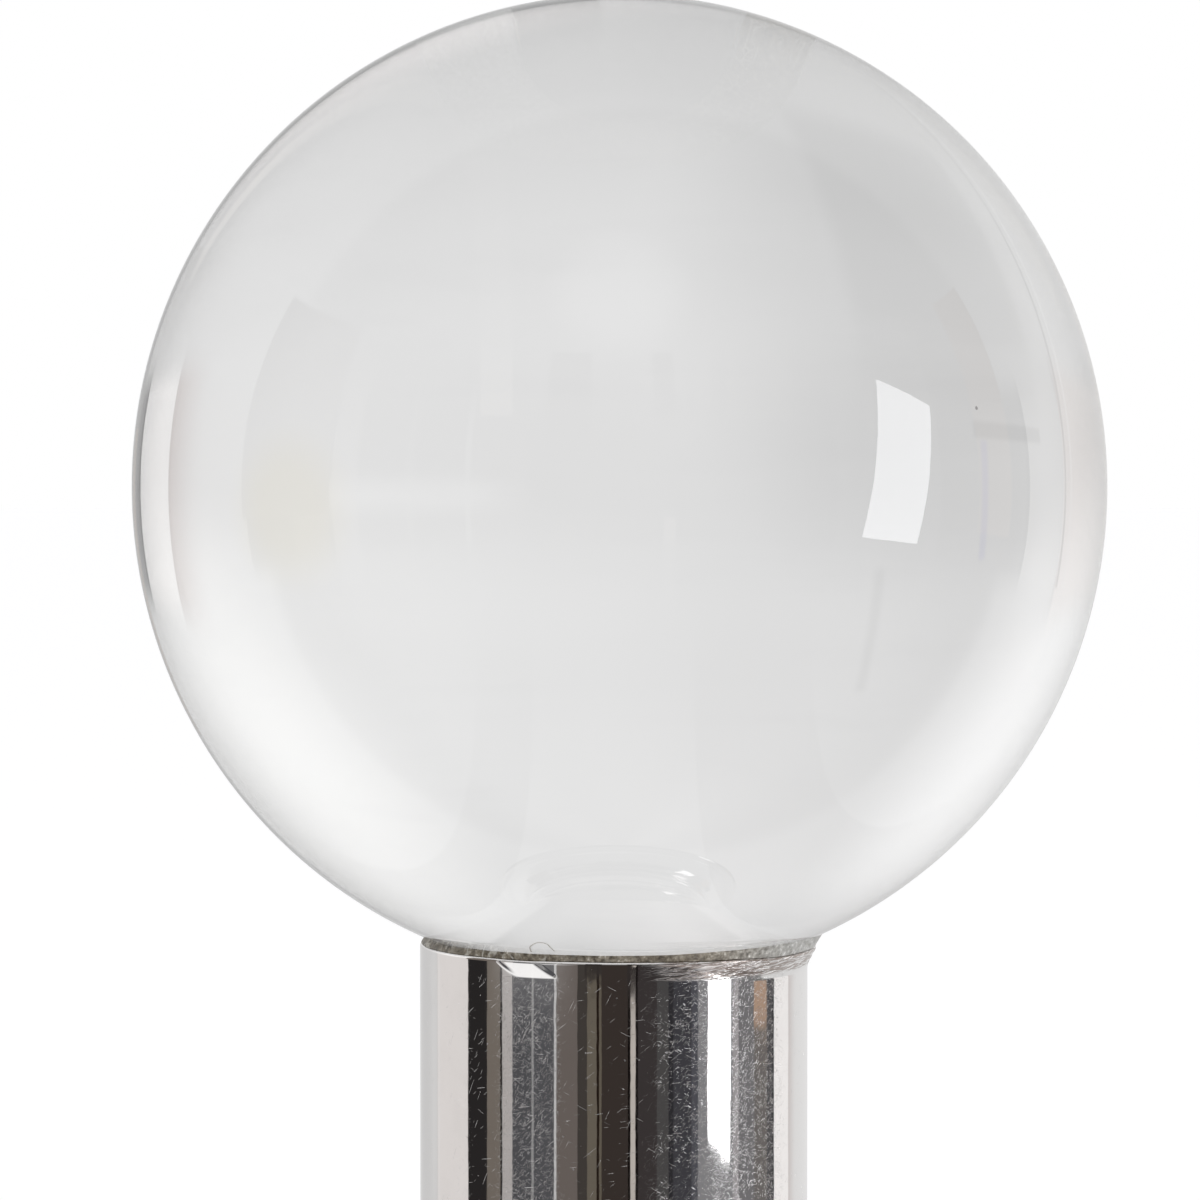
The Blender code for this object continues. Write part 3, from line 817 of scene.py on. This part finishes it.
def make_gasket(rubber):
    """A soft pad whose edge bulges a little under the foot."""
    radius = gasket_high.y
    top, bottom = gasket_high.z, gasket_low.z
    middle = (top + bottom) / 2
    profile = [(4.4 * MM, top), (radius - 0.5 * MM, top)]
    for i in range(9):
        angle = math.radians(70 - 140 * i / 8)
        profile.append(
            (
                radius - 0.35 * MM + 0.35 * MM * math.cos(angle),
                middle + (top - middle) * math.sin(angle),
            )
        )
    profile += [(radius - 0.5 * MM, bottom), (4.4 * MM, bottom)]
    mesh = turned_mesh("hood_gasket", profile, 192)
    piece("hood_gasket", mesh, "ornament", rubber, "rubber", "base_gasket", sharp=50)


# ---------------------------------------------------------------- rod and fasteners


def thread_radius(angle, height, low, high):
    """The radius of a right-hand M8 thread at a point, its first turn chamfered at the end."""
    phase = (height / PITCH - angle / math.tau) % 1
    rise = abs(2 * phase - 1)
    flank = min(1, max(0, (rise - 0.12) / 0.70))
    radius = ROD_RADIUS - THREAD_DEPTH * flank
    chamfer = ROD_RADIUS - 1.0 * MM + min(height - low, high - height)
    return min(radius, chamfer)


def make_rod(zinc):
    """The rod's lower stretch is threaded, and its middle, hidden in the stem, is plain."""
    steps = 96
    low, high = rod_low.z, rod_high.z
    thread_top = base_high.z
    rows = []
    height = low
    per_pitch = 12
    while height < thread_top:
        rows.append(height)
        height += PITCH / per_pitch
    sections = []
    for height in rows:
        ring = []
        for i in range(steps):
            angle = math.tau * i / steps
            r = thread_radius(angle, height, low, high)
            ring.append((r * math.cos(angle), r * math.sin(angle), height))
        sections.append(ring)
    plain = ROD_RADIUS - 0.15 * MM
    for height, radius in ((thread_top, plain), (high - 0.8 * MM, plain), (high, plain - 0.8 * MM)):
        sections.append(
            [
                (
                    radius * math.cos(math.tau * i / steps),
                    radius * math.sin(math.tau * i / steps),
                    height,
                )
                for i in range(steps)
            ]
        )
    mesh = grid_mesh("threaded_rod", sections, closed_rows=False)
    piece("threaded_rod", mesh, "ornament", zinc, "zinc", "tie_rod", sharp=60)


def make_washer(name, node, material, slot, edge, body="hood_clamp"):
    """A plain washer with its corners rounded by an edge radius."""
    low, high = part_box(node)
    inner = 4.3 * MM
    profile = [(inner, high.z), (high.y, high.z), (high.y, low.z), (inner, low.z)]
    mesh = turned_mesh(name, rounded(profile, edge), 192)
    piece(name, mesh, body, material, slot, node, sharp=50)


def make_spring_washer(name, node, zinc, rise):
    """A split ring on a shallow helix, with rounded corners and square-cut ends."""
    low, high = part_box(node)
    thick = high.z - low.z - rise
    inner, outer = 4.3 * MM, high.y
    section = rounded([(inner, 0), (outer, 0), (outer, -thick), (inner, -thick)], 0.25 * MM)
    turn = math.radians(346)
    steps = 160
    rows = []
    for i in range(steps + 1):
        angle = turn * i / steps
        top = high.z - rise * i / steps
        rows.append([(r * math.cos(angle), r * math.sin(angle), top + z) for r, z in section])
    mesh = grid_mesh(name, rows, closed_rows=False)
    piece(name, mesh, "hood_clamp", zinc, "zinc", node, sharp=50)


def ear_mesh(side, top):
    """One ear as a thick plate, from a small circle on the hub to a larger one at its tip."""
    root, root_radius = Vector((5.6 * MM, -5.2 * MM)), 3.6 * MM
    lobe, lobe_radius = Vector((14.9 * MM, -15.6 * MM)), 4.4 * MM
    heading = math.atan2(lobe.y - root.y, lobe.x - root.x)
    outline = []
    for centre, radius, start in (
        (lobe, lobe_radius, heading - math.pi / 2),
        (root, root_radius, heading + math.pi / 2),
    ):
        for i in range(33):
            angle = start + math.pi * i / 32
            outline.append(centre + radius * Vector((math.cos(angle), math.sin(angle))))
    half = 1.7 * MM
    rows = []
    centre = (root + lobe) / 2
    rounding = ((1.2, 1.0), (0.35, 0.86), (0.0, 0.55))
    layers = [(inset, -depth) for inset, depth in rounding] + list(reversed(rounding))
    for inset, depth in layers:
        row = []
        for point in outline:
            inward = (centre - point).normalized() * inset * 0.6 * MM
            row.append((side * (point.x + inward.x), depth * half, top + point.y + inward.y))
        rows.append(row)
    return grid_mesh("ear", rows, closed_rows=False)


def hub_mesh(top):
    height = 8 * MM
    profile = [
        (0.0001 * MM, top),
        (7.5 * MM, top),
        (7.9 * MM, top - 0.4 * MM),
        (7.9 * MM, top - 1.6 * MM),
        (6.7 * MM, top - 3.2 * MM),
        (6.1 * MM, top - height + 0.6 * MM),
        (5.6 * MM, top - height),
        (0.0001 * MM, top - height),
    ]
    return turned_mesh("hub", profile, 96)


def make_wing_nut(zinc):
    """A die-cast wing nut: hub and ears fused with a remesh, and then bored for the rod."""
    top = nut_high.z
    meshes = [hub_mesh(top), ear_mesh(1, top), ear_mesh(-1, top)]
    shaper = bmesh.new()
    for mesh in meshes:
        shaper.from_mesh(mesh)
    whole = bpy.data.meshes.new("cast_wing_nut")
    shaper.to_mesh(whole)
    shaper.free()
    blank = bpy.data.objects.new("blank", whole)
    bpy.context.scene.collection.objects.link(blank)
    remesh = blank.modifiers.new("fuse", "REMESH")
    remesh.mode = "VOXEL"
    remesh.voxel_size = 0.22 * MM
    smooth = blank.modifiers.new("soften", "SMOOTH")
    smooth.factor = 0.5
    smooth.iterations = 6
    drill_mesh = turned_mesh(
        "drill",
        [
            (0.0001 * MM, top + MM),
            (5.4 * MM, top + MM),
            (4.08 * MM, top - 0.5 * MM),
            (4.08 * MM, top - 7.5 * MM),
            (5.4 * MM, top - 9 * MM),
            (0.0001 * MM, top - 9 * MM),
        ],
        96,
    )
    drill = bpy.data.objects.new("drill", drill_mesh)
    bpy.context.scene.collection.objects.link(drill)
    boring = blank.modifiers.new("bore", "BOOLEAN")
    boring.operation = "DIFFERENCE"
    boring.object = drill
    bpy.context.view_layer.update()
    graph = bpy.context.evaluated_depsgraph_get()
    mesh = bpy.data.meshes.new_from_object(blank.evaluated_get(graph))
    mesh.name = "cast_wing_nut"
    bpy.data.objects.remove(blank)
    bpy.data.objects.remove(drill)
    piece("cast_wing_nut", mesh, "wing_nut", zinc, "zinc", "wing_nut", sharp=50)


# ---------------------------------------------------------------- light


def direction(azimuth, elevation):
    """Azimuth 0 is the camera's side, -Y, and 90 is +X. Degrees."""
    a, e = math.radians(azimuth), math.radians(elevation)
    return Vector((math.sin(a) * math.cos(e), -math.cos(a) * math.cos(e), math.sin(e)))


# This is not a plain, soft studio light. The tables below are the surroundings of the reference
# photograph, worked back from its reflections. A helper program turned places in the photograph
# into angles: 16 of the 32 azimuths in STRIPS and 6 of the 8 numbers in SOFTBOX_CORNERS are its
# output unchanged. The colours in STRIPS start from the photograph's pixel levels, and all tables
# were corrected by comparing renders with it. That breaks the work order's rules on light, on
# tables made by a program and on what comes from the photograph, and report.md has the details.
# Don't copy this as an example of how to light a part.

# Between the floor and the ceiling, on the camera's side: azimuth where a strip starts, colour
STRIPS = (
    (-180, tone(208)),
    (-130, tone(228, 224, 222)),
    (-97, tone(46, 44, 44)),
    (-81.5, tone(116, 109, 102)),
    (-70.5, tone(40, 38, 38)),
    (-69.6, tone(178, 174, 172)),
    (-62.6, tone(82, 82, 85)),
    (-50.4, tone(146)),
    (-49.2, tone(84, 84, 87)),
    (-36, tone(196)),
    (-34.8, tone(106, 99, 95)),
    (-22.2, tone(68, 64, 61)),
    (-16.4, tone(104, 98, 88)),
    (-10.8, tone(38, 30, 26)),
    (-9.4, tone(100, 94, 84)),
    (-7.2, tone(60, 54, 51)),
    (8.2, tone(22, 18, 18)),
    (8.9, tone(190, 183, 176)),
    (11.8, tone(26, 22, 22)),
    (12.9, tone(62, 58, 58)),
    (24.7, tone(76, 75, 75)),
    (31.8, tone(52, 51, 54)),
    (35, tone(66, 66, 70)),
    (46, tone(82, 82, 88)),
    (50.5, tone(132, 132, 134)),
    (73.3, tone(158, 155, 157)),
    (78.5, tone(118, 117, 119)),
    (90.9, tone(110, 107, 105)),
    (102.5, tone(88, 87, 89)),
    (107.2, tone(44, 43, 46)),
    (108.6, tone(252, 250, 249)),
    (126, tone(208, 200, 198)),
)

# Soft tones below the strips, by azimuth
LOW_BAND = (
    (-180, 212),
    (-125, 226),
    (-88, 118),
    (-58, 165),
    (-20, 122),
    (18, 112),
    (58, 172),
    (92, 120),
    (122, 222),
    (180, 212),
)

# Tones behind the object, by elevation
BEHIND = (
    (-90, 216),
    (-62, 218),
    (-40, 218),
    (-27, 222),
    (-18, 226),
    (-11, 229),
    (0, 229),
    (8, 233),
    (14, 231),
    (25, 231),
    (35, 230),
    (46, 234),
    (90, 234),
)

# Broad soft lights: azimuth, elevation, width in degrees and colour added
LOBES = (
    (125, 34, 38, (0.235, 0.235, 0.228)),
    (-116, 30, 36, (0.33, 0.33, 0.33)),
    (150, 14, 30, (0.035, 0.035, 0.033)),
    (180, -14, 6, (0.03, 0.03, 0.03)),
    (62, -64, 50, (0.46, 0.42, 0.41)),
)

# Broad shades: azimuth, elevation, width in degrees and share of the light taken away
SHADES = (
    (-152, -14, 27, 0.13),
    (-150, -42, 28, 0.05),
    (-152, 12, 30, 0.08),
)

# Cards: azimuth from and to, elevation from and to, softness of their edges, colour, strength
CARDS = (
    (-97, -69.6, -4.6, 30, 0.4, tone(118, 110, 104), 1.0),
    (-16.9, -6.8, -6.42, 30, 0.04, tone(58, 54, 52), 1.0),
    (8, 13, -6.62, 30, 0.04, tone(56, 52, 51), 1.0),
    (91, 102.3, -6.95, 30, 0.12, tone(176, 150, 130), 1.0),
    (-161.5, -135.5, -38, -7, 1.5, tone(140), 0.045),
    (-161.5, -135.5, -36, -13, 1.5, tone(140), 0.045),
    (-149, -136, -5.6, -4.2, 0.3, tone(185), 0.3),
    (-148.0, -147.0, -4, 6, 0.3, tone(196, 196, 214), 0.35),
    (-160.6, -159.6, 6, 16, 0.4, tone(200), 0.25),
    (-129.2, -128.5, -60, 10, 0.2, tone(170), 0.3),
    (-126.8, -126.2, -50, 20, 0.2, tone(250), 0.3),
)

# A bright band on the left: azimuth from and to and its softness, elevation the same, level
GLINT_AZIMUTH = (-74, -28, 9)
GLINT_ELEVATION = (-4.0, 1.0, 3.4)
GLINT_LEVEL = 1.15

# The softbox's corners, by azimuth and elevation, its distance in metres and its strength
SOFTBOX_CORNERS = ((56.8, -9.6), (72.0, -10.0), (77.2, 14.2), (63.6, 20.5))
SOFTBOX_REACH = 1.9
SOFTBOX_STRENGTH = 5.6


def make_world():
    """The map from the tables above, for reflections and refractions, and white for the camera."""
    world = bpy.data.worlds.new("studio")
    bpy.context.scene.world = world
    tree = Tree(world)
    coordinates = tree.add("ShaderNodeTexCoord").outputs["Generated"]
    parts = tree.add("ShaderNodeSeparateXYZ")
    tree.put(coordinates, parts.inputs[0])
    x, y, z = parts.outputs
    around = tree.math("ARCTAN2", x, tree.math("MULTIPLY", y, -1.0))
    azimuth = tree.math("MULTIPLY", around, math.degrees(1))
    elevation = tree.math("MULTIPLY", tree.math("ARCSINE", z), math.degrees(1))

    share = tree.math("ADD", tree.math("DIVIDE", azimuth, 360.0), 0.5)
    stops = [((start + 180) / 360, colour) for start, colour in STRIPS]
    band = tree.ramp(share, stops, "CONSTANT")
    stops = [((at + 180) / 360, tone(level)) for at, level in LOW_BAND]
    low_band = tree.ramp(share, stops, "EASE")
    below = tree.smooth(elevation, -34, -13, 0.0, 0.35)
    below = tree.math("ADD", below, tree.smooth(elevation, -14, -10, 0.0, 0.65))
    above = tree.smooth(elevation, 8, 30)
    front = tree.mix(below, low_band, band)
    front = tree.mix(above, front, tone(180))

    height = tree.math("ADD", tree.math("DIVIDE", elevation, 180.0), 0.5)
    stops = [((up + 90) / 180, tone(level)) for up, level in BEHIND]
    back = tree.ramp(height, stops, "EASE")
    far = tree.smooth(tree.math("ABSOLUTE", azimuth), 122, 138)
    beyond = tree.math("SUBTRACT", y, tree.math("MULTIPLY", x, 0.1))
    beyond = tree.smooth(beyond, 0.04, 0.14)
    tall = tree.smooth(tree.math("ABSOLUTE", elevation), 10, 16)
    far = tree.mix_values(tall, far, beyond)
    sky = tree.mix(far, front, back)

    for at, up, width, colour in LOBES:
        toward = tree.add("ShaderNodeVectorMath", operation="DOT_PRODUCT")
        tree.put(coordinates, toward.inputs[0])
        toward.inputs[1].default_value = direction(at, up)
        share = tree.smooth(toward.outputs["Value"], math.cos(math.radians(width)), 1.0)
        sky = tree.plus(sky, tree.tint(colour, share))
    for at, up, width, amount in SHADES:
        toward = tree.add("ShaderNodeVectorMath", operation="DOT_PRODUCT")
        tree.put(coordinates, toward.inputs[0])
        toward.inputs[1].default_value = direction(at, up)
        low = math.cos(math.radians(width))
        kept = tree.smooth(toward.outputs["Value"], low, 1.0, 1.0, 1.0 - amount)
        sky = tree.tint_by(sky, kept)
    glint = tree.math(
        "MULTIPLY",
        between(tree, azimuth, *GLINT_AZIMUTH),
        between(tree, elevation, *GLINT_ELEVATION),
    )
    sky = tree.mix(glint, sky, (GLINT_LEVEL,) * 3)
    for left, right, low, high, soft, colour, strength in CARDS:
        mask = tree.math(
            "MULTIPLY",
            between(tree, azimuth, left, right, soft),
            between(tree, elevation, low, high, soft),
        )
        sky = tree.mix(tree.math("MULTIPLY", mask, strength), sky, colour)

    path = tree.add("ShaderNodeLightPath")
    shade = tree.mix(path.outputs["Is Diffuse Ray"], sky, (0.85, 0.85, 0.86))
    shade = tree.mix(path.outputs["Is Camera Ray"], shade, (1.0, 1.0, 1.0))
    background = tree.add("ShaderNodeBackground")
    tree.put(shade, background.inputs["Color"])
    background.inputs["Strength"].default_value = 1.0
    output = tree.add("ShaderNodeOutputWorld")
    tree.put(background.outputs[0], output.inputs["Surface"])


def make_floor():
    """A pale floor, hidden from the glass and the chrome, which show the world's map instead."""
    mesh = bpy.data.meshes.new("floor")
    size = 30.0
    corners = [(-size, -size), (size, -size), (size, size), (-size, size)]
    mesh.from_pydata([(x, y, FLOOR) for x, y in corners], [], [(0, 1, 2, 3)])
    floor = bpy.data.objects.new("floor", mesh)
    bpy.context.scene.collection.objects.link(floor)
    material, tree = new_material("pale_floor")
    diffuse = tree.add("ShaderNodeBsdfDiffuse")
    diffuse.inputs["Color"].default_value = (0.8, 0.8, 0.8, 1)
    glow = tree.add("ShaderNodeEmission")
    glow.inputs["Strength"].default_value = 0.32
    both = tree.add("ShaderNodeAddShader")
    tree.put(diffuse.outputs[0], both.inputs[0])
    tree.put(glow.outputs[0], both.inputs[1])
    output = tree.add("ShaderNodeOutputMaterial")
    tree.put(both.outputs[0], output.inputs["Surface"])
    mesh.materials.append(material)
    floor.visible_glossy = False
    floor.visible_transmission = False


def make_softbox():
    """A tall softbox on the right, a little in front of the object and leaning."""
    points = [BALL_CENTRE + SOFTBOX_REACH * direction(a, e) for a, e in SOFTBOX_CORNERS]
    mesh = bpy.data.meshes.new("softbox")
    mesh.from_pydata([tuple(p) for p in points], [], [(0, 1, 2, 3)])
    box = bpy.data.objects.new("softbox", mesh)
    bpy.context.scene.collection.objects.link(box)
    material, tree = new_material("softbox")
    glow = tree.add("ShaderNodeEmission")
    glow.inputs["Color"].default_value = (0.97, 0.98, 1.0, 1)
    glow.inputs["Strength"].default_value = SOFTBOX_STRENGTH
    output = tree.add("ShaderNodeOutputMaterial")
    tree.put(glow.outputs[0], output.inputs["Surface"])
    mesh.materials.append(material)
    box.visible_camera = False
    box.visible_transmission = False


def make_camera():
    """A long lens at the height of the ball's centre, tipped down a little."""
    camera = bpy.data.cameras.new("camera")
    camera.sensor_width = 36
    camera.lens = 132.2
    camera.clip_start = 0.01
    obj = bpy.data.objects.new("camera", camera)
    bpy.context.scene.collection.objects.link(obj)
    obj.location = (BALL_CENTRE.x, BALL_CENTRE.y - 0.318, BALL_CENTRE.z)
    obj.rotation_euler = (math.radians(90 - 1.457), 0, math.radians(0.251))
    bpy.context.scene.camera = obj


def main():
    bpy.context.scene.view_settings.view_transform = "Standard"
    make_camera()
    tube_plate = chrome("scratched_chrome", TUBE_RADIUS, 1.0)
    foot_plate = chrome("polished_chrome", base_high.y, 0.6)
    zinc = zinc_plate()
    rubber = black_rubber()
    brass = turned_brass()
    cement = bonding_cement()

    make_ball(clear_glass())
    make_stem(tube_plate, cement)
    make_collar(foot_plate)
    make_foot(foot_plate)
    make_gasket(rubber)
    make_rod(zinc)
    make_washer("rubber_washer", "hood_rubber_washer", rubber, "rubber", 0.4 * MM)
    make_washer("backing_washer", "hood_backing_washer", zinc, "zinc", 0.25 * MM)
    make_spring_washer("split_washer", "hood_spring_washer", zinc, 0.8 * MM)
    make_wing_nut(zinc)

    looks = {"brass": brass, "zinc": zinc, "rubber": rubber}
    for part in frame["record"]["subparts"]:
        node = frame["nodes"][part["node"]]
        if node.hide_render:
            continue
        node.data.materials.clear()
        node.data.materials.append(looks[part["material_slot"]])

    make_world()
    make_floor()
    make_softbox()


main()

bpy.context.view_layer.update()
